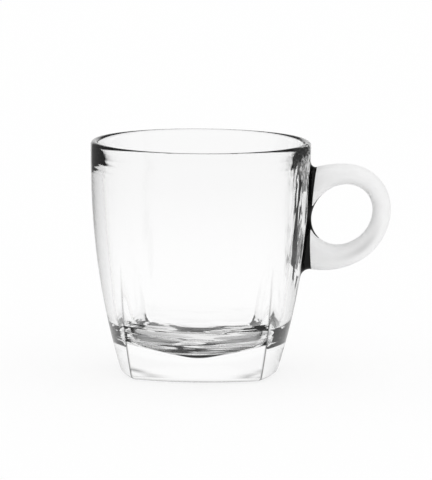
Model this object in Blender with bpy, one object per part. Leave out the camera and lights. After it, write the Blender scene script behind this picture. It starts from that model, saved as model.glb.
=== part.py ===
"""Glass cappuccino cup with a ring handle. Metres, +Z up.

The cup stands on z = 0 with its axis on the world's Z axis, and the handle points along +X.
It is two pieces of glass: the pressed bowl with its thick base, and the ring handle fused to one side.
The bowl is round at the rim and turns into a bulged square at the foot, with four upright corner edges.
"""

import math

import bmesh
import bpy
import numpy as np

# Outside of the bowl
RIM_RADIUS = 0.0375
CUP_HEIGHT = 0.079
FOOT_SIDE = 0.0266  # axis to the middle of a side, at the foot
FOOT_CORNER = 0.0309  # axis to a corner edge, at the foot
SIDE_CURVE = 2.27  # power with which a side leaves the upright on its way down
CORNER_FADE = 2.1  # power with which the corner edges fade out towards the rim
FOOT_ROUND = 0.0014  # rounding of the bottom edge

# Inside of the bowl
LIP_WALL = 0.0024  # wall at the lip, which is a half round
WALL = 0.0036  # wall at the middle of a side, below the flare of the mouth
MOUTH_FLARE = 0.0105  # height over which the wall grows from the lip to its full measure
FLARE_EASE = 1.3  # power with which that growth starts at the lip
HEEL_WALL = 0.0046  # wall at the middle of a side, beside the floor
FLOOR_EDGE = 0.0114  # height of the floor beside the heel
HEEL_ROUND = 0.0092  # rounding between wall and floor
FLOOR_SLOPE = 0.19  # fall of the floor towards its middle
FLOOR_TIP = 0.004  # rounding in the middle of the floor
CORNER_SOFTNESS = 0.18  # radians over which the inside's corners are rounded off

# Ring of the handle, in the XZ plane
HOLE_BELOW_RIM = 0.0246  # rim to the middle of the finger hole
HOLE_LONG = 0.0112  # long half axis of the finger hole
HOLE_SHORT = 0.0095  # short half axis
HOLE_TILT = math.radians(45)  # long axis, raised from the horizontal
WEB = 0.0011  # glass between the finger hole and the bowl
RING_TIP = 0.0063  # width of the ring at its far end
RING_TOP = 0.0071  # width above the hole
RING_BOTTOM = 0.0079  # width below the hole
RING_THICKNESS = 0.0084  # along Y

# Root of the handle, where it spreads on to the bowl
ROOT_ABOVE_HOLE = 0.0161  # middle of the hole to the root's upper edge
ROOT_BELOW_HOLE = 0.0189  # middle of the hole to its lower edge
ROOT_ROUND_TOP = 0.0018  # hollow rounding above the root
ROOT_ROUND_BOTTOM = 0.0028  # hollow rounding below it
ROOT_FLARE = 0.0017  # hollow rounding at both flanks
UPPER_JOIN = math.radians(84)  # angle about the hole where the ring runs into the upper arm
LOWER_JOIN = math.radians(-67)  # and into the lower arm
ROOT_SPOKE = math.radians(150)  # angle about the hole at which the spokes to the root's tips start
FUSE_CLEARANCE = 0.0003  # between the root and the bowl

# Fineness of the meshes
COLUMNS = 48  # around the bowl, a multiple of 8 so that each corner edge has one
WALL_ROWS = 12
ROUND_ROWS = 6
FLOOR_ROWS = 4
RING_STEPS = 34
ARM_STEPS = 7
ROOT_STEPS = 14
ACROSS_STEPS = 8
SEAT_STEPS = 4
EDGE_MERGE = 1e-7
TANGENT_STEP = 1e-4  # radians, over which a tangent of the ring is taken
SETTLE_ROUNDS = 8  # of scaling a point on to the bowl's wall
SHARP_EDGE = math.radians(20)  # angle between faces that shows as an edge

HOLE_HEIGHT = CUP_HEIGHT - HOLE_BELOW_RIM
LIP_ROUND = LIP_WALL / 2
LIP_START = CUP_HEIGHT - LIP_ROUND
HALF_THICKNESS = RING_THICKNESS / 2
EDGE_ROUND = RING_TIP / 2


def depth(z):
    """Share of the way down from the rim: 0 at the rim and 1 at the foot."""
    return np.clip(1 - z / CUP_HEIGHT, 0, 1)


def side_radius(z):
    """Axis to the middle of a side at height z."""
    return RIM_RADIUS - (RIM_RADIUS - FOOT_SIDE) * depth(z) ** SIDE_CURVE


def corner_power(z):
    """How square the plan is at height z: 0 is a circle and 1 has flat sides."""
    squareness = (FOOT_CORNER / FOOT_SIDE - 1) * depth(z) ** CORNER_FADE
    return 2 * np.log2(1 + squareness)


def plan_factor(angle, softness):
    """Secant of the angle from the middle of the nearest side: 1 there, and the root of 2 at a sharp corner.
    A softness rounds the corner off, as a hyperbola rounds the peak of a roof."""
    half = math.pi / 4
    from_side = np.abs(angle - 2 * half * np.round(angle / (2 * half)))
    from_corner = np.hypot(half - from_side, softness)
    return math.cos(half - math.hypot(half, softness)) / np.cos(half - from_corner)


def wall_x(y, z):
    """X of the bowl's outer surface on the handle's side, at y and z, settled by a few rounds of scaling."""
    power = corner_power(z)
    side = side_radius(z)
    x = side * np.ones_like(y)
    for _ in range(SETTLE_ROUNDS):
        x = x * side / (np.hypot(x, y) ** (1 - power) * x**power)
    return x


def inner_side(z):
    """Axis to the middle of an inner side at height z. The wall grows quickly below the lip, where the mouth
    flares, and evenly from there down to the heel."""
    below = LIP_START - z
    flared = 1 - (1 - np.clip(below / MOUTH_FLARE, 0, 1) ** FLARE_EASE) ** 2
    share = below / (LIP_START - FLOOR_EDGE)
    return side_radius(z) - LIP_WALL - (WALL - LIP_WALL) * flared - (HEEL_WALL - WALL) * share


def floor_rise(radius):
    """Rise of the floor from its middle to a radius: a shallow cone with a rounded tip."""
    return FLOOR_SLOPE * (np.hypot(radius, FLOOR_TIP) - FLOOR_TIP)


def body_profile():
    """Rows of the bowl from the foot, over the lip and down to the middle of the floor, the last with side 0:
    (height, side, corner power, corner softness)."""
    quarter = np.linspace(0, math.pi / 2, ROUND_ROWS)
    rows = []
    for turn in quarter:
        inset = FOOT_ROUND * (1 - math.sin(turn))
        z = FOOT_ROUND * (1 - math.cos(turn))
        rows.append((z, side_radius(z) - inset, corner_power(z), 0.0))
    for z in np.linspace(FOOT_ROUND, LIP_START, WALL_ROWS)[1:]:
        rows.append((z, side_radius(z), corner_power(z), 0.0))
    lip_middle = side_radius(LIP_START) - LIP_ROUND
    for turn in np.linspace(0, math.pi, 2 * ROUND_ROWS)[1:]:
        z = LIP_START + LIP_ROUND * math.sin(turn)
        rows.append((z, lip_middle + LIP_ROUND * math.cos(turn), corner_power(z), 0.0))
    rise = inner_side(FLOOR_EDGE + HEEL_ROUND) - inner_side(FLOOR_EDGE)
    lean = math.atan2(rise, HEEL_ROUND)
    heel_start = FLOOR_EDGE + HEEL_ROUND * (1 - math.sin(lean))
    flare_end = LIP_START - MOUTH_FLARE
    for z in np.linspace(LIP_START, flare_end, ROUND_ROWS)[1:]:
        rows.append((z, inner_side(z), corner_power(z), CORNER_SOFTNESS))
    for z in np.linspace(flare_end, heel_start, WALL_ROWS)[1:]:
        rows.append((z, inner_side(z), corner_power(z), CORNER_SOFTNESS))
    heel_middle = inner_side(heel_start) - HEEL_ROUND * math.cos(lean)
    for turn in np.linspace(lean, math.pi / 2 - math.atan(FLOOR_SLOPE), ROUND_ROWS)[1:]:
        z = FLOOR_EDGE + HEEL_ROUND * (1 - math.sin(turn))
        rows.append((z, heel_middle + HEEL_ROUND * math.cos(turn), corner_power(z), CORNER_SOFTNESS))
    edge_z, edge_side, edge_power, _ = rows[-1]
    middle_z = edge_z - floor_rise(edge_side)
    for share in np.linspace(1, 0, FLOOR_ROWS + 1)[1:]:
        z = middle_z + floor_rise(share * edge_side)
        rows.append((z, share * edge_side, share * edge_power, CORNER_SOFTNESS))
    return rows


def hole_radius(angle):
    """Middle of the finger hole to its edge, at an angle in the XZ plane."""
    turn = angle - HOLE_TILT
    return HOLE_LONG * HOLE_SHORT / np.hypot(HOLE_SHORT * np.cos(turn), HOLE_LONG * np.sin(turn))


def hole_centre():
    """Middle of the finger hole, which leaves the web between the hole and the bowl."""
    reach = math.hypot(HOLE_LONG * math.cos(HOLE_TILT), HOLE_SHORT * math.sin(HOLE_TILT))
    return np.array([side_radius(HOLE_HEIGHT) + WEB + reach, HOLE_HEIGHT])


def ring_outline(angle):
    """Outer edge of the ring at an angle: the hole's edge moved out by the ring's width there."""
    side_width = np.where(angle > 0, RING_TOP, RING_BOTTOM)
    width = RING_TIP + (side_width - RING_TIP) * (1 - np.cos(angle))
    radius = hole_radius(angle) + width
    return hole_centre() + np.stack([radius * np.cos(angle), radius * np.sin(angle)], axis=-1)


def arm_edge(join, root):
    """Edge of an arm: a parabola that leaves the ring along its tangent and ends at the root."""
    start = ring_outline(np.array(join))
    tangent = start - ring_outline(np.array(join - math.copysign(TANGENT_STEP, join)))
    tangent = tangent / np.linalg.norm(tangent)
    control = start + tangent * np.linalg.norm(root - start) / 2
    t = np.linspace(0, 1, ARM_STEPS + 1)[:, None]
    return (1 - t) ** 2 * start + 2 * t * (1 - t) * control + t**2 * root


def root_corner(z, radius, way):
    """Hollow quarter round from the root's edge at height z to the bowl, upwards or downwards by way."""
    turn = np.linspace(0, math.pi / 2, ROUND_ROWS)
    height = z + way * radius * (1 - np.cos(turn))
    return np.stack([seat_x(height) + radius * (1 - np.sin(turn)), height], axis=-1)


def seat_x(z):
    """X of the handle's seat on the bowl, in the plane y = 0."""
    return side_radius(z) + FUSE_CLEARANCE


def handle_outline():
    """Outline of the handle in the XZ plane, anticlockwise from the root's lower tip: its free edge, its seat on
    the bowl, and the places in the free edge where the ring starts and ends."""
    upper = root_corner(HOLE_HEIGHT + ROOT_ABOVE_HOLE, ROOT_ROUND_TOP, 1)
    lower = root_corner(HOLE_HEIGHT - ROOT_BELOW_HOLE, ROOT_ROUND_BOTTOM, -1)
    upper_arm = arm_edge(UPPER_JOIN, upper[0])
    lower_arm = arm_edge(LOWER_JOIN, lower[0])
    ring = ring_outline(np.linspace(LOWER_JOIN, UPPER_JOIN, RING_STEPS + 1))
    free = [lower[:0:-1], lower_arm[:0:-1], ring, upper_arm[1:], upper[1:]]
    ring_start = len(free[0]) + len(free[1])
    seat_heights = np.linspace(upper[-1, 1], lower[-1, 1], ROOT_STEPS + 1)[1:-1]
    seat = np.stack([seat_x(seat_heights), seat_heights], axis=-1)
    return np.concatenate(free), seat, ring_start, ring_start + RING_STEPS


def spoke_angles(free, seat, ring_start, ring_end):
    """Angles about the finger hole at which the spokes to the outline start. They grow with the outline's length
    between the root's tips and the ring's ends, so that no two spokes cross."""
    outline = np.concatenate([free, seat, free[:1]])
    steps = np.linalg.norm(np.diff(outline, axis=0), axis=1)
    length = np.concatenate([[0], np.cumsum(steps)])
    places = [0, ring_start, ring_end, len(free) - 1, len(outline) - 1]
    turns = [-ROOT_SPOKE, LOWER_JOIN, UPPER_JOIN, ROOT_SPOKE, 2 * math.pi - ROOT_SPOKE]
    return np.interp(length, length[places], turns)[:-1]


def distance_to(points, line):
    """Distance of each point from the nearest stretch of a broken line."""
    start = line[:-1]
    run = line[1:] - start
    offset = points[..., None, :] - start
    along = np.clip((offset * run).sum(-1) / (run**2).sum(-1), 0, 1)
    return np.linalg.norm(offset - along[..., None] * run, axis=-1).min(-1)


def rounded(distance):
    """Quarter round that rises from 0 at an edge to 1 at the edge's rounding."""
    return np.sqrt(1 - (1 - np.clip(distance / EDGE_ROUND, 0, 1)) ** 2)


def flare(distance):
    """Hollow quarter round that widens the root's flanks towards the bowl."""
    return ROOT_FLARE * (1 - np.sqrt(1 - (1 - np.clip(distance / ROOT_FLARE, 0, 1)) ** 2))


def handle_sections():
    """Closed sections of the handle about its hole, each from the hole's edge along the front to the free
    edge or the seat, across the seat, and along the back to the hole's edge."""
    free, seat, ring_start, ring_end = handle_outline()
    outer = np.concatenate([free, seat])
    angles = spoke_angles(free, seat, ring_start, ring_end)
    directions = np.stack([np.cos(angles), np.sin(angles)], axis=-1)
    inner = hole_centre() + hole_radius(angles)[:, None] * directions
    across = (1 - np.cos(np.linspace(0, math.pi, ACROSS_STEPS + 1))) / 2
    plane = inner[:, None] + across[None, :, None] * (outer - inner)[:, None]
    hole_edge = np.concatenate([inner, inner[:1]])
    x, z = plane[..., 0], plane[..., 1]
    from_seat = np.maximum(x - seat_x(z), 0)
    half = rounded(distance_to(plane, hole_edge)) * rounded(distance_to(plane, free))
    half = half * (HALF_THICKNESS + flare(from_seat))
    half[:, 0] = 0
    half[: len(free), -1] = 0
    settle = np.clip(1 - from_seat / HALF_THICKNESS, 0, 1) ** 2
    x = x + settle * (wall_x(half, z) - side_radius(z))
    share = np.linspace(-1, 1, SEAT_STEPS + 1)[1:-1]
    seat_y = half[:, -1:] * share
    seat_z = np.repeat(z[:, -1:], len(share), axis=1)
    open_x = np.repeat(x[:, -1:], len(share), axis=1)
    on_seat = (np.arange(len(outer)) >= len(free))[:, None]
    seat_line = np.where(on_seat, wall_x(seat_y, seat_z) + FUSE_CLEARANCE, open_x)
    front = np.stack([x, -half, z], axis=-1)
    back = np.stack([x, half, z], axis=-1)[:, :0:-1]
    return np.concatenate([front, np.stack([seat_line, seat_y, seat_z], axis=-1), back], axis=1)


def glass(name, tint, roughness):
    """Clear or satin glass."""
    material = bpy.data.materials.new(name)
    material.use_nodes = True
    shader = material.node_tree.nodes["Principled BSDF"]
    shader.inputs["Base Color"].default_value = (*tint, 1)
    shader.inputs["Roughness"].default_value = roughness
    shader.inputs["Metallic"].default_value = 0
    shader.inputs["Transmission Weight"].default_value = 1
    shader.inputs["IOR"].default_value = 1.52
    return material


def add_piece(name, bm, material, parent, place):
    """Turns a closed bmesh into an object with smooth faces, placed under its parent."""
    bmesh.ops.remove_doubles(bm, verts=bm.verts, dist=EDGE_MERGE)
    bmesh.ops.recalc_face_normals(bm, faces=bm.faces)
    mesh = bpy.data.meshes.new(name)
    bm.to_mesh(mesh)
    bm.free()
    mesh.materials.append(material)
    mesh.shade_smooth()
    mesh.set_sharp_from_angle(angle=SHARP_EDGE)
    piece = bpy.data.objects.new(name, mesh)
    piece.location = place
    piece.parent = parent
    bpy.context.scene.collection.objects.link(piece)
    return piece


def join_rings(bm, first, second):
    """Quads between two rings of vertices of the same count."""
    for i, vertex in enumerate(first):
        j = (i + 1) % len(first)
        bm.faces.new((vertex, first[j], second[j], second[i]))


def make_body(parent):
    """The bowl: rings of the profile joined upwards, over the lip and down to the middle of the floor, where
    the last ring falls into one point, and the flat foot."""
    bm = bmesh.new()
    angles = np.arange(COLUMNS) * 2 * math.pi / COLUMNS
    rings = []
    for z, side, power, softness in body_profile():
        radius = side * plan_factor(angles, softness) ** power
        ring = zip(radius * np.cos(angles), radius * np.sin(angles))
        rings.append([bm.verts.new((x, y, z)) for x, y in ring])
    for lower, upper in zip(rings, rings[1:]):
        join_rings(bm, lower, upper)
    bm.faces.new(reversed(rings[0]))
    return add_piece("cup_body", bm, glass("clear_glass", (0.96, 0.97, 0.97), 0.02), parent, (0, 0, 0))


def make_handle(parent):
    """The ring handle: sections joined all the way round the finger hole."""
    bm = bmesh.new()
    x, z = hole_centre()
    local = handle_sections() - np.array([x, 0, z])
    rings = [[bm.verts.new(point) for point in section] for section in local]
    for ring, following in zip(rings, rings[1:] + rings[:1]):
        join_rings(bm, ring, following)
    return add_piece("ring_handle", bm, glass("satin_glass", (0.93, 0.94, 0.94), 0.35), parent, (x, 0, z))


def build():
    """Clears the scene and makes both pieces under one empty at the middle of the foot."""
    for old in list(bpy.data.objects):
        bpy.data.objects.remove(old)
    cup = bpy.data.objects.new("cup", None)
    bpy.context.scene.collection.objects.link(cup)
    make_body(cup)
    make_handle(cup)


build()
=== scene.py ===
"""Looks of the glass cappuccino cup: a clear pressed bowl with a thick base, and a satin ring handle.

Both pieces are surfaces worked out with numpy from the same lengths as the solids, in metres, +Z up.
They leave the solids by less than a millimetre, where that matters for the light in the glass: the floor is
a little flatter and has a dimple in its middle, the corner edges soften above the base, and the handle's
seat closes on the bowl.
The cup stands on z = 0 with its axis on the Z axis, and the handle points along +X.
"""

import math

import bmesh
import bpy
import numpy as np
from mathutils import Matrix, Vector


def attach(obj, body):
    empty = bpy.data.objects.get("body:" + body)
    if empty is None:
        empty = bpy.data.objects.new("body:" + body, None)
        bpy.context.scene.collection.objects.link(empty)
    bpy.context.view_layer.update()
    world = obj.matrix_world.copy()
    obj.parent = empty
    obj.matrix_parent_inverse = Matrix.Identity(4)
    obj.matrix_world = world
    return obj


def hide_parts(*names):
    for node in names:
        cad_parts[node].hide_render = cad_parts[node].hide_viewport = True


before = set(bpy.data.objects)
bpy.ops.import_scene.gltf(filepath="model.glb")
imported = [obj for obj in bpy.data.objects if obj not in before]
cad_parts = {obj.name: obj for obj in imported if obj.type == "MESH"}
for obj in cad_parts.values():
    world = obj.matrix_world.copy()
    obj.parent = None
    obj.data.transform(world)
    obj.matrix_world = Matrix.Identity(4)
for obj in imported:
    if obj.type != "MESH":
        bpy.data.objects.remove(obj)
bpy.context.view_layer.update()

# Outside of the bowl
RIM_RADIUS = 0.0375
CUP_HEIGHT = 0.079
FOOT_SIDE = 0.0266  # axis to the middle of a side, at the foot
FOOT_CORNER = 0.0309  # axis to a corner edge, at the foot
SIDE_CURVE = 2.27  # power with which the sides draw in towards the foot
CORNER_FADE = 2.1  # power with which the corner edges fade out towards the rim
FOOT_ROUND = 0.0014
EDGE_SOFTNESS = 0.007  # radians over which the upright corner edges are rounded beside the base
EDGE_BLUR = 4.0  # growth of that with the height above the base, in radians per metre
EDGE_BLUR_START = 0.018

# Inside of the bowl
LIP_WALL = 0.0024
WALL = 0.0036
MOUTH_FLARE = 0.0105  # height of the flare below the lip
FLARE_EASE = 1.3  # power with which the flare starts
HEEL_WALL = 0.0046
FLOOR_EDGE = 0.0114
HEEL_ROUND = 0.0092
FLOOR_SLOPE = 0.175
FLOOR_TIP = 0.004
DIMPLE_DEPTH = 0.0003  # of the hollow that the press leaves in the middle of the floor
DIMPLE_RADIUS = 0.0055
CORNER_SOFTNESS = 0.18  # radians over which the inside's corners are rounded off

# Handle, in the XZ plane about the finger hole
HOLE_BELOW_RIM = 0.0246
HOLE_LONG = 0.0112
HOLE_SHORT = 0.0095
HOLE_TILT = math.radians(45)
WEB = 0.0011
RING_TIP = 0.0063
RING_TOP = 0.0071
RING_BOTTOM = 0.0079
RING_THICKNESS = 0.0084
ROOT_ABOVE_HOLE = 0.0161
ROOT_BELOW_HOLE = 0.0189
ROOT_ROUND_TOP = 0.0018
ROOT_ROUND_BOTTOM = 0.0028
ROOT_FLARE = 0.0017
UPPER_JOIN = math.radians(84)
LOWER_JOIN = math.radians(-67)
ROOT_SPOKE = math.radians(150)
FUSE_GAP = 0.00002  # between the two fused surfaces, which are see-through there

LIP_ROUND = LIP_WALL / 2
LIP_START = CUP_HEIGHT - LIP_ROUND
HOLE_HEIGHT = CUP_HEIGHT - HOLE_BELOW_RIM
HALF_THICKNESS = RING_THICKNESS / 2
EDGE_ROUND = RING_TIP / 2
QUARTER = math.pi / 2
MILLIMETRES = 1000

# Fineness of the grids
COLUMNS_PER_SIDE = 80
CORNER_CROWDING = 0.88
FLAT_SHARES = (0, 0.3, 0.6, 0.8, 0.9, 0.96, 0.99)  # places of the rows on the flat foot
WALL_ROWS = 80
FLARE_ROWS = 26
ROUND_ROWS = 12
FLOOR_ROWS = 50
RING_STEPS = 150
ARM_STEPS = 30
ROOT_STEPS = 70
ACROSS_STEPS = 38
SEAT_STEPS = 14
SETTLING_ROUNDS = 8
SMALL_TURN = 1e-4
MERGE_DISTANCE = 1e-7
SHARP_EDGE = math.radians(40)  # angle between faces that shows as an edge

# Light
FREE_REFLECTIONS = 2  # reflections inside the glass that keep all light
REFLECTION_KEEPS = 0.012  # share of light kept by each one after them
GLOSS_LIGHT = 0.4  # light of the room's front in the gloss of the outside
SIDE_LIGHT = 0.2  # and of its sides
FRONT_END = (-0.1, 0.4)  # backward share of a direction over which the front gives way to the sides
BACKDROP_START = (0.85, 0.98)  # and the sides to the white backdrop
NEAR_GLOSS = 0.75  # light of the table beside the cup in that gloss
NEAR_TABLE = 0.13  # distance from the axis up to which it is so bright
FAR_TABLE = 0.5  # and from which it is as dim there as the room
CEILING_LIGHT = 0.7
CEILING_START = (0.1, 0.7)  # upward share of a direction over which the backdrop darkens to that
FOOT_SHADE = 0.85  # light on the table under the foot
FOOT_SHADE_EDGE = (0.6, 1.4)  # where that shade ends, in half widths of the foot
TABLE_WHITENESS = 0.8  # part of the table that is white without any light
TABLE_TONE = 0.98
LIGHT_BOUNCES = 24
SEE_THROUGH_BOUNCES = 16

# Painted shade on the bowl: dark lines in place of the dark refraction at its edges
EDGE_LINE = 0.0004  # half width of the painted shade line along a corner edge
EDGE_LINE_TOP = 0.040  # height at which that line has faded out
EDGE_LINE_FULL = 0.018  # height below which it is full
FOOT_LINE = 0.0003  # half height of the fainter painted shade line along the edge of the foot
FOOT_LINE_HEIGHT = 0.0003
FOOT_LINE_STRENGTH = 0.3
FAR_LINE = 0.0006  # half height of the painted shade line beside a foot's corner that shows through the base
FAR_LINE_HEIGHT = 0.0037
FAR_LINE_FALL = 0.2  # its slope away from the corner
FAR_LINE_REACH = 0.018
# Tone of the painted shade lines.
LINE_SHADE_TONE = 0.002

# Glass of the bowl and its ripples
GLASS_IOR = 1.52
RIPPLE_UNIT = 0.0002  # height of a ripple of strength 1
MOULD_SCALE = 60
MOULD_WAVE = 0.1
HEEL_HEIGHT = 0.0135
HEEL_REACH = 0.0035  # from that height up and down to where the heel's ripples fade out
HEEL_SCALE = 45
HEEL_FLATNESS = 10
HEEL_WAVE = 14.0
HEEL_HAZE = 0.13
HEEL_CORNER = 0.012  # distance from a corner edge over which they are stronger
HEEL_CORNER_MORE = 2.5
HEEL_BACK = 0.8  # share by which they are weaker at the back
HEEL_CALM = 0.3  # and on the handle's side and the side across from it
CALM_START = (0.75, 0.85)  # sideward share of a direction over which those sides start
LIP_HEIGHT = 0.0715
LIP_REACH = 0.0035
LIP_RIPPLE = 0.07  # strength of the same ripples below the lip
JOINT_HALF_WIDTH = 0.0105  # from the middle of the joint to where its ripples fade out
JOINT_HEIGHT = 0.058
JOINT_REACH = 0.024  # the same upwards and downwards from that height
JOINT_SCALE = 330
JOINT_FLATNESS = 0.25
JOINT_WAVE = 6.0
FOLDS_HEIGHT = 0.0715  # of the finer ripples above the handle
FOLDS_REACH = 0.005
FOLDS_SCALE = 700
FOLDS_FLATNESS = 0.5
FOLDS_WAVE = 4.0
HAZE = 0.02  # most roughness of smooth glass
HAZE_START = (0.45, 0.9)  # values of the noise between which the haze comes up
MOUTH_SHADE = 0.978
MOUTH_SHADE_START = (0.03, 0.075)  # heights over which painted shade makes the glass greyer towards the mouth

# Skin of the handle
CLEAR_BAND = 0.0012  # band without etching, along the bowl beside the finger hole, painted dark from outside as painted shade
CLEAR_ABOVE = 3.5  # growth of that band with the square of the height above the hole, per metre
CLEAR_BELOW = 6.0  # and below it
CLEAR_TIP = 0.0045  # length of the clear tips along the edge of the finger hole
CLEAR_TIP_WIDTH = 0.0003
CLEAR_TIP_REACH = 0.010  # height over which they are there, from the middle of the hole
CLEAR_EDGE = 0.06  # half width in millimetres over which the skin starts
BAND_SHADE_TONES = (0.00001, 0.0003)  # painted shade of the clear band, near black from outside
BAND_INSIDE = 0.9  # tone of that band for light from inside the handle
BAND_IOR = 1.12  # low, so that the dark band has little gloss
BEND_SHADE_ANGLE = math.radians(-55)  # place about the hole of the painted shade on the lower bend
BEND_SHADE_SPREAD = math.radians(34)
BEND_SHADE_NARROWNESS = 6
# Tone of the painted shade on the lower bend.
BEND_SHADE_TONE = 0.72
SKIN_TONES = (0.96, 0.99)
SKIN_ROUGHNESS = 0.4
CLOUD_ROUGHNESS = 0.1  # added to that where the skin is cloudy
SKIN_INSIDE = 0.95  # tone of the skin seen from inside the handle
CLOUD_SCALE = 220
CLOUD_START = (0.3, 0.7)
GRAIN_SCALE = 4000
GRAIN_HEIGHT = 0.0001


def depth(z):
    """Share of the way down from the rim: 0 at the rim and 1 at the foot."""
    return np.clip(1 - z / CUP_HEIGHT, 0, 1)


def side_radius(z):
    """Axis to the middle of a side: the rim's radius less a power of the depth."""
    return RIM_RADIUS - (RIM_RADIUS - FOOT_SIDE) * depth(z) ** SIDE_CURVE


def corner_power(z):
    """How square the plan is: 0 is a circle and 1 has flat sides. It fades out with a power of the depth."""
    squareness = (FOOT_CORNER / FOOT_SIDE - 1) * depth(z) ** CORNER_FADE
    return 2 * np.log2(1 + squareness)


def turn_from_side(angle):
    """Angle from the middle of the nearest side."""
    return np.abs(angle - QUARTER * np.round(angle / QUARTER))


def plan_factor(angle, softness):
    """Secant of the angle from the middle of the nearest side, which peaks at the corners. A softness rounds
    the peak off: the angle from the corner becomes the hypotenuse of itself and the softness. The result is
    scaled to 1 in the middle of a side."""
    half = QUARTER / 2
    from_corner = np.hypot(half - turn_from_side(angle), softness)
    return np.cos(half - np.hypot(half, softness)) / np.cos(half - from_corner)


def wall_x(y, z):
    """X of the bowl's outer surface on the handle's side at y and z, settled by a few rounds of scaling."""
    power = corner_power(z)
    side = side_radius(z)
    x = side * np.ones_like(y)
    for _ in range(SETTLING_ROUNDS):
        x = x * side / (np.hypot(x, y) ** (1 - power) * x**power)
    return x


def inner_side(z):
    """Axis to the middle of an inner side: the outer one less the wall, which grows quickly below the lip,
    where the mouth flares, and evenly from there to the heel."""
    below = LIP_START - z
    flared = 1 - (1 - np.clip(below / MOUTH_FLARE, 0, 1) ** FLARE_EASE) ** 2
    share = below / (LIP_START - FLOOR_EDGE)
    return side_radius(z) - LIP_WALL - (WALL - LIP_WALL) * flared - (HEEL_WALL - WALL) * share


def bell(distance, reach, power=2):
    """Bell curve: 1 at no distance and about a third at the reach, with a flatter top for a higher power."""
    return np.exp(-((distance / reach) ** power))


def floor_rise(radius):
    """Rise of the floor from its middle to a radius: a hyperbola, that is a shallow cone with a round tip,
    and a bell curve turned down for the dimple."""
    dimple = DIMPLE_DEPTH * (1 - bell(radius, DIMPLE_RADIUS))
    return FLOOR_SLOPE * (np.hypot(radius, FLOOR_TIP) - FLOOR_TIP) + dimple


def bowl_rows():
    """Rows of the bowl as heights, sides, corner powers and softnesses, and how many of them lie outside.
    They run out along the flat foot, a quarter round, up the wall, a half round over the lip, down the flare
    and the inner wall, round the heel by an arc that meets wall and floor along their tangents, and down the
    floor to its middle."""
    turn = np.linspace(0, QUARTER, ROUND_ROWS)
    foot_z = FOOT_ROUND * (1 - np.cos(turn))
    foot_side = side_radius(foot_z) - FOOT_ROUND * (1 - np.sin(turn))
    flat_side = foot_side[0] * np.array(FLAT_SHARES)
    wall_z = np.linspace(FOOT_ROUND, LIP_START, WALL_ROWS + 1)[1:]
    lip_turn = np.linspace(0, math.pi, 2 * ROUND_ROWS)[1:]
    lip_z = LIP_START + LIP_ROUND * np.sin(lip_turn)
    lip_side = side_radius(LIP_START) - LIP_ROUND + LIP_ROUND * np.cos(lip_turn)
    rise = inner_side(FLOOR_EDGE + HEEL_ROUND) - inner_side(FLOOR_EDGE)
    lean = math.atan2(rise, HEEL_ROUND)
    heel_start = FLOOR_EDGE + HEEL_ROUND * (1 - math.sin(lean))
    flare_z = np.linspace(LIP_START, LIP_START - MOUTH_FLARE, FLARE_ROWS + 1)[1:]
    inner_z = np.linspace(LIP_START - MOUTH_FLARE, heel_start, WALL_ROWS + 1)[1:]
    heel_turn = np.linspace(lean, QUARTER - math.atan(FLOOR_SLOPE), 2 * ROUND_ROWS)[1:]
    heel_z = FLOOR_EDGE + HEEL_ROUND * (1 - np.sin(heel_turn))
    heel_side = inner_side(heel_start) + HEEL_ROUND * (np.cos(heel_turn) - math.cos(lean))
    share = np.linspace(1, 0, FLOOR_ROWS + 1)[1:]
    floor_side = heel_side[-1] * share
    floor_z = heel_z[-1] - floor_rise(heel_side[-1]) + floor_rise(floor_side)
    outside_z = np.concatenate([np.zeros_like(flat_side), foot_z, wall_z, lip_z])
    inside_z = np.concatenate([flare_z, inner_z, heel_z])
    sides = [flat_side, foot_side, side_radius(wall_z), lip_side]
    sides += [inner_side(flare_z), inner_side(inner_z), heel_side, floor_side]
    powers = [corner_power(outside_z), corner_power(inside_z), corner_power(heel_z[-1]) * share]
    outside_softness = EDGE_SOFTNESS + EDGE_BLUR * np.maximum(outside_z - EDGE_BLUR_START, 0)
    softness = [outside_softness, np.full(len(inside_z) + len(share), CORNER_SOFTNESS)]
    heights = np.concatenate([outside_z, inside_z, floor_z])
    return heights, np.concatenate(sides), np.concatenate(powers), np.concatenate(softness), len(outside_z)


def bowl_angles():
    """Angles of the bowl's columns, crowded towards the four corner edges by a sine."""
    u = np.linspace(-1, 1, COLUMNS_PER_SIDE, endpoint=False)
    crowded = CORNER_CROWDING * np.sin(QUARTER * u) + (1 - CORNER_CROWDING) * u
    return (np.arange(4)[:, None] * QUARTER + crowded * math.pi / 4).ravel()


def painted_edge_shade(points, outside, from_edge):
    """How strongly each point shows the painted shade lines, dark lines in place of the dark refraction at
    the edges. Those seen from outside are a bell curve of the distance from a corner edge, which fades
    upwards, and a fainter one of the height along the edge of the foot. Those seen from inside are one of the
    height that slopes down from the foot's corners."""
    z = points[..., 2]
    fade = np.clip((EDGE_LINE_TOP - z) / (EDGE_LINE_TOP - EDGE_LINE_FULL), 0, 1)
    upright = fade * bell(from_edge, EDGE_LINE)
    on_edge = outside & (np.hypot(points[..., 0], points[..., 1]) > FOOT_SIDE - FOOT_ROUND)
    along_foot = FOOT_LINE_STRENGTH * bell(z - FOOT_LINE_HEIGHT, FOOT_LINE) * on_edge
    far_z = FAR_LINE_HEIGHT - FAR_LINE_FALL * from_edge
    far = bell(z - far_z, FAR_LINE) * bell(from_edge, FAR_LINE_REACH) * on_edge
    return np.where(outside, np.maximum(upright, along_foot), 0), far


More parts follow.
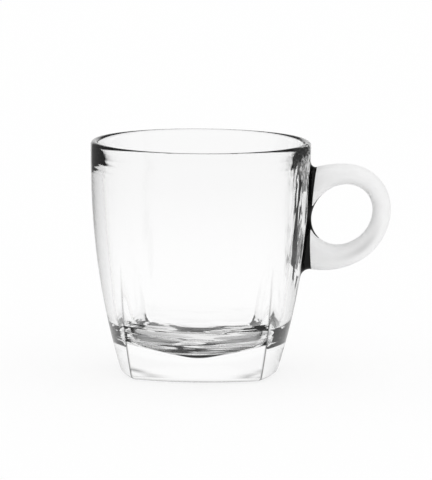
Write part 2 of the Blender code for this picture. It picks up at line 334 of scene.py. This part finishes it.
def inner_ripples(points, angle, from_edge):
    """Strength of the lying ripples inside: a bell curve of the height about the heel, stronger towards the
    corner edges and weaker at the back and the two sides across the handle, and a weak one below the lip."""
    z = points[..., 2]
    low, high = CALM_START
    sideward = np.clip((np.abs(np.cos(angle)) - low) / (high - low), 0, 1)
    backward = np.clip(points[..., 1] / FOOT_SIDE + 0.5, 0, 1)
    corner = 1 + HEEL_CORNER_MORE * bell(from_edge, HEEL_CORNER) * (1 - sideward)
    calm = (1 - HEEL_BACK * backward) * (1 - HEEL_CALM * sideward)
    return bell(z - HEEL_HEIGHT, HEEL_REACH) * corner * calm + LIP_RIPPLE * bell(z - LIP_HEIGHT, LIP_REACH)


def bowl_points():
    """Points of the bowl: each row is the circle of its side times a power of the plan's secant.
    Also which points lie outside, and the strengths of the painted shade lines and of the ripples on them.
    Those about the joint with the handle are bell curves of the distance from its middle and of the height."""
    z, side, power, softness, outside_rows = bowl_rows()
    angle = bowl_angles()
    radius = side[:, None] * plan_factor(angle, softness[:, None]) ** power[:, None]
    z = np.broadcast_to(z[:, None], radius.shape)
    points = np.stack([radius * np.cos(angle), radius * np.sin(angle), z], axis=-1)
    outside = np.broadcast_to((np.arange(len(z)) < outside_rows)[:, None], radius.shape)
    from_edge = radius * np.abs(QUARTER / 2 - turn_from_side(angle))
    edge_shade_line, far_shade_line = painted_edge_shade(points, outside, from_edge)
    beside = bell(points[..., 1], JOINT_HALF_WIDTH) * (points[..., 0] > 0)
    attributes = {
        "edge_shade_line": edge_shade_line,
        "far_shade_line": far_shade_line,
        "inner_ripple": np.where(outside, 0, inner_ripples(points, angle, from_edge)),
        "joint_ripple": beside * bell(z - JOINT_HEIGHT, JOINT_REACH, 4),
        "joint_folds": beside * bell(z - FOLDS_HEIGHT, FOLDS_REACH),
    }
    return points, outside, attributes


def hole_radius(angle):
    """Middle of the finger hole to its edge: the polar form of a tilted ellipse."""
    turn = angle - HOLE_TILT
    return HOLE_LONG * HOLE_SHORT / np.hypot(HOLE_SHORT * np.cos(turn), HOLE_LONG * np.sin(turn))


def hole_centre():
    """Middle of the finger hole, which leaves the web between the hole and the bowl."""
    reach = math.hypot(HOLE_LONG * math.cos(HOLE_TILT), HOLE_SHORT * math.sin(HOLE_TILT))
    return np.array([side_radius(HOLE_HEIGHT) + WEB + reach, HOLE_HEIGHT])


def ring_outline(angle):
    """Outer edge of the ring: the hole's edge moved out by a width that grows from the tip by a cosine."""
    side_width = np.where(angle > 0, RING_TOP, RING_BOTTOM)
    width = RING_TIP + (side_width - RING_TIP) * (1 - np.cos(angle))
    radius = hole_radius(angle) + width
    return hole_centre() + np.stack([radius * np.cos(angle), radius * np.sin(angle)], axis=-1)


def arm_edge(join, root):
    """Edge of an arm: a parabola that leaves the ring along its tangent and ends at the root."""
    start = ring_outline(np.array(join))
    tangent = start - ring_outline(np.array(join - math.copysign(SMALL_TURN, join)))
    tangent = tangent / np.linalg.norm(tangent)
    control = start + tangent * np.linalg.norm(root - start) / 2
    t = np.linspace(0, 1, ARM_STEPS + 1)[:, None]
    return (1 - t) ** 2 * start + 2 * t * (1 - t) * control + t**2 * root


def seat_x(z):
    """X of the handle's seat on the bowl, in the plane y = 0."""
    return side_radius(z) + FUSE_GAP


def root_corner(z, radius, way):
    """Hollow quarter round from the root's edge at height z to the bowl, upwards or downwards by way."""
    turn = np.linspace(0, QUARTER, 2 * ROUND_ROWS)
    height = z + way * radius * (1 - np.cos(turn))
    return np.stack([seat_x(height) + radius * (1 - np.sin(turn)), height], axis=-1)


def handle_outline():
    """Outline of the handle in the XZ plane, anticlockwise from the root's lower tip: its free edge, its
    seat on the bowl, and the places in the free edge where the ring starts and ends."""
    upper = root_corner(HOLE_HEIGHT + ROOT_ABOVE_HOLE, ROOT_ROUND_TOP, 1)
    lower = root_corner(HOLE_HEIGHT - ROOT_BELOW_HOLE, ROOT_ROUND_BOTTOM, -1)
    upper_arm = arm_edge(UPPER_JOIN, upper[0])
    lower_arm = arm_edge(LOWER_JOIN, lower[0])
    ring = ring_outline(np.linspace(LOWER_JOIN, UPPER_JOIN, RING_STEPS + 1))
    free = [lower[:0:-1], lower_arm[:0:-1], ring, upper_arm[1:], upper[1:]]
    ring_start = len(free[0]) + len(free[1])
    seat_z = np.linspace(upper[-1, 1], lower[-1, 1], ROOT_STEPS + 1)[1:-1]
    seat = np.stack([seat_x(seat_z), seat_z], axis=-1)
    return np.concatenate(free), seat, ring_start, ring_start + RING_STEPS


def spoke_angles(free, seat, ring_start, ring_end):
    """Angles about the finger hole at which the spokes to the outline start: a broken line over the length
    of the outline, with its corners at the root's tips and the ring's ends, so that no two spokes cross."""
    outline = np.concatenate([free, seat, free[:1]])
    steps = np.linalg.norm(np.diff(outline, axis=0), axis=1)
    length = np.concatenate([[0], np.cumsum(steps)])
    places = [0, ring_start, ring_end, len(free) - 1, len(outline) - 1]
    turns = [-ROOT_SPOKE, LOWER_JOIN, UPPER_JOIN, ROOT_SPOKE, 2 * math.pi - ROOT_SPOKE]
    return np.interp(length, length[places], turns)[:-1]


def distance_to(points, line):
    """Distance of each point from the nearest stretch of a broken line."""
    start = line[:-1]
    run = line[1:] - start
    offset = points[..., None, :] - start
    along = np.clip((offset * run).sum(-1) / (run**2).sum(-1), 0, 1)
    return np.linalg.norm(offset - along[..., None] * run, axis=-1).min(-1)


def rounded(distance):
    """Quarter round that rises from 0 at an edge to 1 at the edge's rounding."""
    return np.sqrt(1 - (1 - np.clip(distance / EDGE_ROUND, 0, 1)) ** 2)


def flare(distance):
    """Hollow quarter round that widens the root's flanks towards the bowl."""
    return ROOT_FLARE * (1 - np.sqrt(1 - (1 - np.clip(distance / ROOT_FLARE, 0, 1)) ** 2))


def clear_band(z, from_hole):
    """Width of the band along the bowl that isn't etched and is painted dark from outside as painted shade:
    it grows with the square of the height from the middle of the hole, and runs out in two thin tips along
    the hole's edge."""
    up = z - HOLE_HEIGHT
    tips = bell(from_hole, CLEAR_TIP_WIDTH) * bell(up, CLEAR_TIP_REACH, 4)
    return CLEAR_BAND + np.where(up > 0, CLEAR_ABOVE, CLEAR_BELOW) * up**2 + CLEAR_TIP * tips


def painted_shade_skin(plane, across):
    """Painted shade along the middle of the ring's lower bend: a bell curve of the angle about the hole times
    a power of the sine of the way across the ring."""
    offset = plane - hole_centre()
    turn = np.arctan2(offset[..., 1], offset[..., 0]) - BEND_SHADE_ANGLE
    return bell(turn, BEND_SHADE_SPREAD) * np.sin(math.pi * across) ** BEND_SHADE_NARROWNESS


def both_faces(values):
    """Values on the handle's front, repeated across its seat and on its back."""
    on_seat = np.repeat(values[:, -1:], SEAT_STEPS - 1, axis=1)
    return np.concatenate([values, on_seat, values[:, :0:-1]], axis=1)


def handle_points():
    """Closed sections of the handle about its hole, on spokes from the hole's edge to the outline. The half
    thickness is the product of the two edges' quarter rounds and the plate's own half thickness with its
    flare. Each section runs along the front to the outline, across the seat, and back along the back.
    Also how far each point lies inside the etched skin in millimetres, where the skin has painted shade,
    which points are on the seat, and the seat's heights and half widths."""
    free, seat, ring_start, ring_end = handle_outline()
    outer = np.concatenate([free, seat])
    angles = spoke_angles(free, seat, ring_start, ring_end)
    spokes = np.stack([np.cos(angles), np.sin(angles)], axis=-1)
    inner = hole_centre() + hole_radius(angles)[:, None] * spokes
    across = (1 - np.cos(np.linspace(0, math.pi, ACROSS_STEPS + 1))) / 2
    plane = inner[:, None] + across[None, :, None] * (outer - inner)[:, None]
    x, z = plane[..., 0], plane[..., 1]
    from_seat = np.maximum(x - seat_x(z), 0)
    from_hole = distance_to(plane, np.concatenate([inner, inner[:1]]))
    half = rounded(from_hole) * rounded(distance_to(plane, free)) * (HALF_THICKNESS + flare(from_seat))
    half[:, 0] = 0
    half[: len(free), -1] = 0
    settle = np.clip(1 - from_seat / HALF_THICKNESS, 0, 1) ** 2
    x = x + settle * (wall_x(half, z) - side_radius(z))
    on_seat = (np.arange(len(outer)) >= len(free))[:, None]
    seat_y = half[:, -1:] * np.linspace(-1, 1, SEAT_STEPS + 1)[1:-1]
    seat_z = np.broadcast_to(z[:, -1:], seat_y.shape)
    seat_line = np.where(on_seat, wall_x(seat_y, seat_z) + FUSE_GAP, x[:, -1:])
    front = np.stack([x, -half, z], axis=-1)
    back = np.stack([x, half, z], axis=-1)[:, :0:-1]
    points = np.concatenate([front, np.stack([seat_line, seat_y, seat_z], axis=-1), back], axis=1)
    place = np.arange(points.shape[1])
    attributes = {
        "etched": both_faces(from_seat - clear_band(z, from_hole)) * MILLIMETRES,
        "painted_shade": both_faces(painted_shade_skin(plane, across)),
        "on_seat": on_seat & (place >= ACROSS_STEPS) & (place <= ACROSS_STEPS + SEAT_STEPS),
    }
    return points, attributes, z[len(free) :, -1][::-1], half[len(free) :, -1][::-1]


def closed_surface(name, points, attributes, ring):
    """Mesh of a grid of points. Each row closes on itself, and in a ring the last row meets the first.
    Quads join each point to the next row and column, and points that fall together at poles and edges are
    merged."""
    index = np.arange(points.size // 3).reshape(points.shape[:2])
    if ring:
        index = np.concatenate([index, index[:1]])
    beside = np.roll(index, -1, axis=1)
    quads = np.stack([index[:-1], beside[:-1], beside[1:], index[1:]], axis=-1).reshape(-1, 4)
    mesh = bpy.data.meshes.new(name)
    mesh.vertices.add(points.size // 3)
    mesh.vertices.foreach_set("co", points.astype(np.float32).ravel())
    mesh.loops.add(quads.size)
    mesh.loops.foreach_set("vertex_index", quads.astype(np.int32).ravel())
    mesh.polygons.add(len(quads))
    mesh.polygons.foreach_set("loop_start", np.arange(0, quads.size, 4, dtype=np.int32))
    mesh.update(calc_edges=True)
    for key, values in attributes.items():
        layer = mesh.attributes.new(key, "FLOAT", "POINT")
        layer.data.foreach_set("value", values.astype(np.float32).ravel())
    bm = bmesh.new()
    bm.from_mesh(mesh)
    bmesh.ops.remove_doubles(bm, verts=bm.verts, dist=MERGE_DISTANCE)
    bmesh.ops.recalc_face_normals(bm, faces=bm.faces)
    bm.to_mesh(mesh)
    bm.free()
    mesh.shade_smooth()
    mesh.set_sharp_from_angle(angle=SHARP_EDGE)
    piece = bpy.data.objects.new(name, mesh)
    bpy.context.scene.collection.objects.link(piece)
    return piece


class Value:
    """A number in a node tree. Arithmetic on it adds Math nodes."""

    def __init__(self, tree, socket):
        self.tree = tree
        self.socket = socket

    def math(self, operation, first, second):
        return self.tree.add("ShaderNodeMath", {"operation": operation}, {0: first, 1: second}).value(0)

    def __add__(self, other):
        return self.math("ADD", self, other)

    def __radd__(self, other):
        return self.math("ADD", other, self)

    def __sub__(self, other):
        return self.math("SUBTRACT", self, other)

    def __rsub__(self, other):
        return self.math("SUBTRACT", other, self)

    def __mul__(self, other):
        return self.math("MULTIPLY", self, other)

    def __rmul__(self, other):
        return self.math("MULTIPLY", other, self)

    def __truediv__(self, other):
        return self.math("DIVIDE", self, other)

    def __rpow__(self, other):
        return self.math("POWER", other, self)

    def __gt__(self, other):
        return self.math("GREATER_THAN", self, other)

    def at_least(self, other):
        return self.math("MAXIMUM", self, other)

    def ease(self, low, high):
        """0 below low and 1 above high, with a smooth step between them."""
        sockets = {"Value": self, "From Min": low, "From Max": high}
        return self.tree.add("ShaderNodeMapRange", {"interpolation_type": "SMOOTHSTEP"}, sockets).value(0)


class Node:
    """A node of a tree, whose outputs are taken as values."""

    def __init__(self, tree, node):
        self.tree = tree
        self.node = node

    def value(self, output):
        return Value(self.tree, self.node.outputs[output])


class Tree:
    """An emptied node tree of a material or the world."""

    def __init__(self, owner):
        owner.use_nodes = True
        self.node_tree = owner.node_tree
        self.node_tree.nodes.clear()

    def add(self, kind, settings, sockets):
        """A node of a kind, with its settings made first and then its sockets set or linked."""
        node = self.node_tree.nodes.new(kind)
        for key, setting in settings.items():
            setattr(node, key, setting)
        for key, content in sockets.items():
            if isinstance(content, Value):
                self.node_tree.links.new(content.socket, node.inputs[key])
            else:
                node.inputs[key].default_value = content
        return Node(self, node)


def grey(level):
    """Opaque neutral colour."""
    return (level, level, level, 1)


def object_place(tree):
    """Object coordinates."""
    return tree.add("ShaderNodeTexCoord", {}, {}).value("Object")


def attribute(tree, name):
    """A value that the mesh carries."""
    return tree.add("ShaderNodeAttribute", {"attribute_name": name}, {}).value("Fac")


def seen_from_inside(tree):
    """1 where a ray meets the surface from inside the glass, and 0 from outside."""
    return tree.add("ShaderNodeNewGeometry", {}, {}).value("Backfacing")


def cloudiness(tree, place, scale, detail):
    """Soft noise of a scale in lumps per metre."""
    sockets = {"Vector": place, "Scale": scale, "Detail": detail, "Roughness": 0.5}
    return tree.add("ShaderNodeTexNoise", {}, sockets).value(0)


def ripples(tree, place, flatness, scale, detail):
    """Soft noise whose lumps are flattened in height, or drawn out upwards where the flatness is below 1."""
    squeezed = tree.add("ShaderNodeMapping", {}, {"Vector": place, "Scale": (1, 1, flatness)}).value(0)
    return cloudiness(tree, squeezed, scale, detail)


def blended(tree, share, first, second):
    """A colour between two by a share."""
    sockets = {"Factor": share, "A": first, "B": second}
    return tree.add("ShaderNodeMix", {"data_type": "RGBA"}, sockets).value("Result")


def clear_glass():
    """Fire polished pressed glass: colourless, with painted shade that makes it a little greyer towards the
    mouth, and a trace of haze that comes and goes. It has the slow waves of the mould, hazy ripples over the
    heel and below the lip, drawn-out ones about the joint, and grey lines of painted shade along the corner
    edges and the foot. It is see-through where the handle is fused on."""
    material = bpy.data.materials.new("clear_glass")
    tree = Tree(material)
    place = object_place(tree)
    height = tree.add("ShaderNodeSeparateXYZ", {}, {0: place}).value("Z")
    # Painted shade: the glass is greyer towards the mouth.
    tint = blended(tree, height.ease(*MOUTH_SHADE_START), grey(1.0), grey(MOUTH_SHADE))
    inside = seen_from_inside(tree)
    # Painted shade lines: dark from outside along the corner edges and the foot, and from inside beside the
    # foot's corners.
    line = attribute(tree, "edge_shade_line") * (1 - inside) + attribute(tree, "far_shade_line") * inside
    rippled = attribute(tree, "inner_ripple")
    haze = cloudiness(tree, place, MOULD_SCALE, 3).ease(*HAZE_START) * HAZE + rippled * HEEL_HAZE
    mould = cloudiness(tree, place, MOULD_SCALE, 0) * MOULD_WAVE
    heel = ripples(tree, place, HEEL_FLATNESS, HEEL_SCALE, 1) * rippled * HEEL_WAVE
    joint = ripples(tree, place, JOINT_FLATNESS, JOINT_SCALE, 0.5) * attribute(tree, "joint_ripple")
    folds = ripples(tree, place, FOLDS_FLATNESS, FOLDS_SCALE, 0) * attribute(tree, "joint_folds")
    waves = mould + heel + joint * JOINT_WAVE + folds * FOLDS_WAVE
    relief = {"Strength": 1.0, "Distance": RIPPLE_UNIT, "Height": waves}
    shader = tree.add(
        "ShaderNodeBsdfPrincipled",
        {},
        {
            # Painted shade lines and the painted shade towards the mouth.
            "Base Color": blended(tree, line, tint, grey(LINE_SHADE_TONE)),
            "Roughness": haze,
            "Transmission Weight": 1.0,
            "IOR": GLASS_IOR,
            "Normal": tree.add("ShaderNodeBump", {}, relief).value("Normal"),
            "Alpha": 1 - (attribute(tree, "in_joint") > 0),
        },
    )
    tree.add("ShaderNodeOutputMaterial", {}, {"Surface": shader.value("BSDF")})
    return material


def satin_glass():
    """Glass with a soft etched skin, cloudy and finely grained, with painted shade that makes it a little
    darker on the lower bend. The skin gives way to a clear band where the handle spreads on to the bowl. That
    band is painted dark from outside as painted shade, and light from inside. The glass is see-through where
    it is fused on."""
    material = bpy.data.materials.new("satin_glass")
    tree = Tree(material)
    place = object_place(tree)
    inside = seen_from_inside(tree)
    off_seat = 1 - (attribute(tree, "on_seat") > 0.999)
    cloud = cloudiness(tree, place, CLOUD_SCALE, 4)
    grain = {"Strength": 0.3, "Distance": GRAIN_HEIGHT, "Height": cloudiness(tree, place, GRAIN_SCALE, 2)}
    cloudy_tint = blended(tree, cloud.ease(*CLOUD_START), grey(SKIN_TONES[0]), grey(SKIN_TONES[1]))
    # Painted shade on the lower bend, mixed into the skin's cloudy tones.
    skin_tone_and_shade = blended(tree, attribute(tree, "painted_shade"), cloudy_tint, grey(BEND_SHADE_TONE))
    skin = tree.add(
        "ShaderNodeBsdfPrincipled",
        {},
        {
            "Base Color": blended(tree, inside, skin_tone_and_shade, grey(SKIN_INSIDE)),
            "Roughness": SKIN_ROUGHNESS + cloud * CLOUD_ROUGHNESS,
            "Transmission Weight": 0.05,
            "IOR": GLASS_IOR,
            "Sheen Weight": 0.3,
            "Sheen Roughness": 0.4,
            "Normal": tree.add("ShaderNodeBump", {}, grain).value("Normal"),
            "Alpha": off_seat,
        },
    )
    # Painted shade: the clear band is near black from outside, in place of the root's dark refraction, and
    # light from inside.
    band_shade = blended(tree, cloud, grey(BAND_SHADE_TONES[0]), grey(BAND_SHADE_TONES[1]))
    band = tree.add(
        "ShaderNodeBsdfPrincipled",
        {},
        {
            "Base Color": blended(tree, inside, band_shade, grey(BAND_INSIDE)),
            "Roughness": cloud * HAZE,
            "Transmission Weight": 1.0,
            "IOR": BAND_IOR,
            "Alpha": off_seat,
        },
    )
    share = attribute(tree, "etched").ease(-CLEAR_EDGE, CLEAR_EDGE)
    mixed = tree.add("ShaderNodeMixShader", {}, {0: share, 1: band.value("BSDF"), 2: skin.value("BSDF")})
    tree.add("ShaderNodeOutputMaterial", {}, {"Surface": mixed.value(0)})
    return material


def room_light(path, gloss):
    """Share of the white room's light that glass shows: all of it straight through the glass or after the
    first reflections inside, little after more, and a given share in the gloss of the outside."""
    more = (path.value("Glossy Depth") - FREE_REFLECTIONS).at_least(0)
    inside = path.value("Transmission Depth") > 0
    return REFLECTION_KEEPS**more * (gloss + inside * (1 - gloss))


def gloss_light(backward):
    """Light in the gloss of the outside by the share of a direction that points to the back: the room in
    front is dim, its sides are darker, and the backdrop shows white."""
    front = GLOSS_LIGHT * (1 - backward.ease(*FRONT_END))
    return (front + backward.ease(*BACKDROP_START)).at_least(SIDE_LIGHT)


def left_glass(path):
    """1 for rays that left a glass surface, and 0 for all others."""
    return path.value("Is Transmission Ray").at_least(path.value("Is Glossy Ray"))


def white_but_for_glass(tree, path, level):
    """A grey of a level for rays that left glass, and full white for all others."""
    shown = 1 + (level - 1) * left_glass(path)
    return tree.add("ShaderNodeCombineColor", {}, {0: shown, 1: shown, 2: shown}).value(0)


def white_room():
    """The world: plain white for the camera and for matt surfaces, and for glass a white backdrop that
    darkens towards the ceiling, in a room that is dimmer in the gloss of the outside."""
    world = bpy.data.worlds.new("white_room")
    bpy.context.scene.world = world
    tree = Tree(world)
    path = tree.add("ShaderNodeLightPath", {}, {})
    direction = tree.add("ShaderNodeTexCoord", {}, {}).value("Generated")
    parts = tree.add("ShaderNodeSeparateXYZ", {}, {0: direction})
    backdrop = 1 - parts.value("Z").ease(*CEILING_START) * (1 - CEILING_LIGHT)
    level = room_light(path, gloss_light(parts.value("Y"))) * backdrop
    colour = white_but_for_glass(tree, path, level)
    light = tree.add("ShaderNodeBackground", {}, {"Color": colour, "Strength": 1.0})
    tree.add("ShaderNodeOutputWorld", {}, {"Surface": light.value(0)})


def white_table():
    """Pale floor that shows white to the camera and to glass, keeps part of the cup's soft shadow, and lies
    in shade under the foot. In the gloss of the outside it dims with the distance from the cup."""
    material = bpy.data.materials.new("white_table")
    tree = Tree(material)
    path = tree.add("ShaderNodeLightPath", {}, {})
    place = object_place(tree)
    off_axis = tree.add("ShaderNodeVectorMath", {"operation": "LENGTH"}, {0: place}).value("Value")
    shade_start, shade_end = FOOT_SHADE_EDGE
    shade = FOOT_SHADE + off_axis.ease(shade_start * FOOT_SIDE, shade_end * FOOT_SIDE) * (1 - FOOT_SHADE)
    backward = tree.add("ShaderNodeSeparateXYZ", {}, {0: place}).value("Y") / off_axis
    far = off_axis.ease(NEAR_TABLE, FAR_TABLE)
    gloss = NEAR_GLOSS + far * (gloss_light(backward) - NEAR_GLOSS)
    colour = white_but_for_glass(tree, path, room_light(path, gloss) * shade)
    matt = tree.add("ShaderNodeBsdfDiffuse", {}, {"Color": grey(TABLE_TONE)})
    shining = tree.add("ShaderNodeEmission", {}, {"Color": colour, "Strength": 1.0})
    share = (path.value("Is Camera Ray") * TABLE_WHITENESS).at_least(left_glass(path))
    mixed = tree.add("ShaderNodeMixShader", {}, {0: share, 1: matt.value(0), 2: shining.value(0)})
    tree.add("ShaderNodeOutputMaterial", {}, {"Surface": mixed.value(0)})
    half = 3.0
    below = -0.0003
    corners = [(-half, -half, below), (half, -half, below), (half, half, below), (-half, half, below)]
    mesh = bpy.data.meshes.new("table_top")
    mesh.from_pydata(corners, [], [(0, 1, 2, 3)])
    mesh.materials.append(material)
    table = bpy.data.objects.new("table_top", mesh)
    bpy.context.scene.collection.objects.link(table)


def camera():
    """Camera of the photograph: a long lens, a little above the rim, turned a little to the handle's side."""
    lift = math.radians(7.9)
    turn = math.radians(2.4)
    roll = math.radians(0.45)
    distance = 1.6
    picture_rows = 480
    row_height = 0.341e-3  # metres at the cup
    aim = Vector((0.0054, 0, 0.045))
    away = Vector((math.sin(turn) * math.cos(lift), -math.cos(turn) * math.cos(lift), math.sin(lift)))
    place = aim + distance * away
    lens = bpy.data.cameras.new("camera")
    lens.sensor_width = 36
    lens.lens = lens.sensor_width * distance / (row_height * picture_rows)
    eye = bpy.data.objects.new("camera", lens)
    look = (-away).to_track_quat("-Z", "Y").to_matrix().to_4x4()
    eye.matrix_world = Matrix.Translation(place) @ look @ Matrix.Rotation(roll, 4, "Z")
    bpy.context.scene.collection.objects.link(eye)
    bpy.context.scene.camera = eye


def cup():
    """The two pieces of glass in place of their solids. The bowl's points in the joint are those outside, on
    the handle's side, within the half width of the handle's seat at their height."""
    points, attributes, seat_z, seat_half = handle_points()
    handle = closed_surface("ring_handle_glass", points, attributes, True)
    handle.data.materials.append(satin_glass())
    points, outside, attributes = bowl_points()
    half = np.interp(points[..., 2], seat_z, seat_half, left=0, right=0)
    in_joint = (half - np.abs(points[..., 1])) * MILLIMETRES
    attributes["in_joint"] = np.where(outside & (points[..., 0] > 0), in_joint, -1)
    bowl = closed_surface("cup_body_glass", points, attributes, False)
    bowl.data.materials.append(clear_glass())
    for piece, node, slot in ((bowl, "cup_body", "clear_glass"), (handle, "ring_handle", "satin_glass")):
        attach(piece, "root")
        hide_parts(node)


def glass_depth():
    """Enough light bounces for the inner reflections of thick glass."""
    cycles = bpy.context.scene.cycles
    cycles.max_bounces = LIGHT_BOUNCES
    cycles.transmission_bounces = LIGHT_BOUNCES
    cycles.glossy_bounces = LIGHT_BOUNCES
    cycles.transparent_max_bounces = SEE_THROUGH_BOUNCES


camera()
cup()
white_table()
white_room()
glass_depth()
bpy.context.scene.view_settings.view_transform = "Standard"
